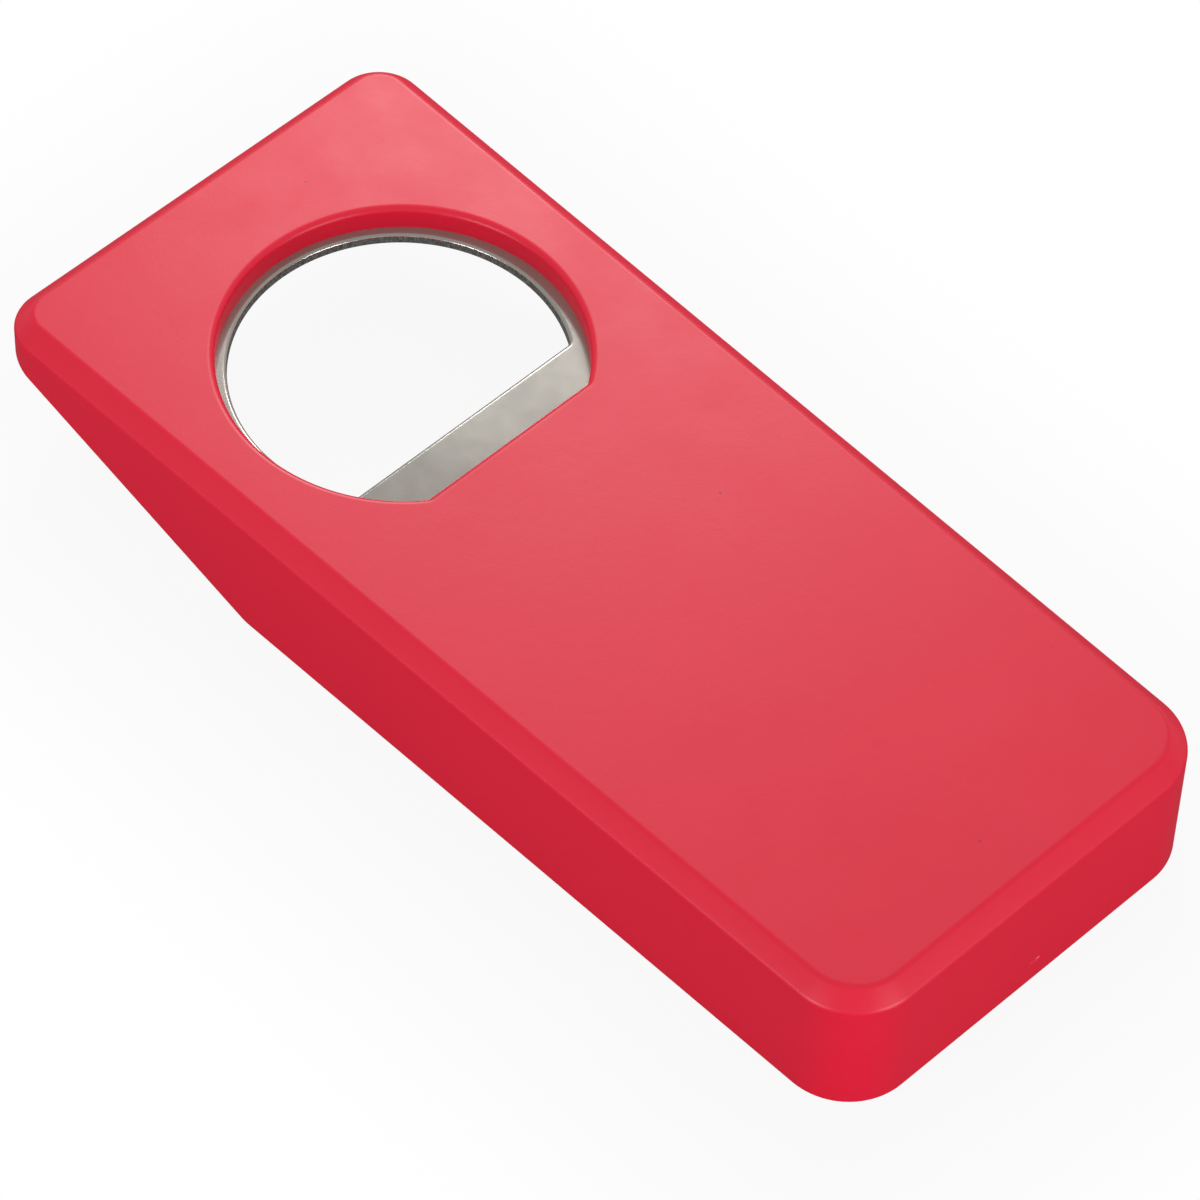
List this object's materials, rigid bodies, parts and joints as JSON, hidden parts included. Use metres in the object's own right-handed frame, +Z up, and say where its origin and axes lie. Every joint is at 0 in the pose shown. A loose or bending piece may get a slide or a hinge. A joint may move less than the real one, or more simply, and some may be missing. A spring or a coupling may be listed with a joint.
{
  "type": "bottle opener",
  "caption": "Rigid hand-held crown-cap bottle opener: moulded grip tapering to a D-shaped hole over a flat steel plate.",
  "frame": {"origin": "centre of the bounding box at the flat underside of the handle", "axes": "+X runs from the thin tip with the hole to the thick handle end, +Y across the grip, +Z up out of the flat top face"},
  "size_m": [0.122, 0.0538, 0.017],
  "materials": {
    "grip_plastic": "satin, very fine orange-peel skin",
    "plate_steel": "satin stamped stainless sheet, grainy punched edge",
    "screw_steel": "zinc-plated",
    "cover_plastic": "fine moulded texture"
  },
  "bodies": {
    "root": {"body_shell": "grip_plastic", "opener_plate": "plate_steel", "plate_screws": "screw_steel", "base_cover": "cover_plastic", "cover_screws": "screw_steel"}
  },
  "joints": []
}
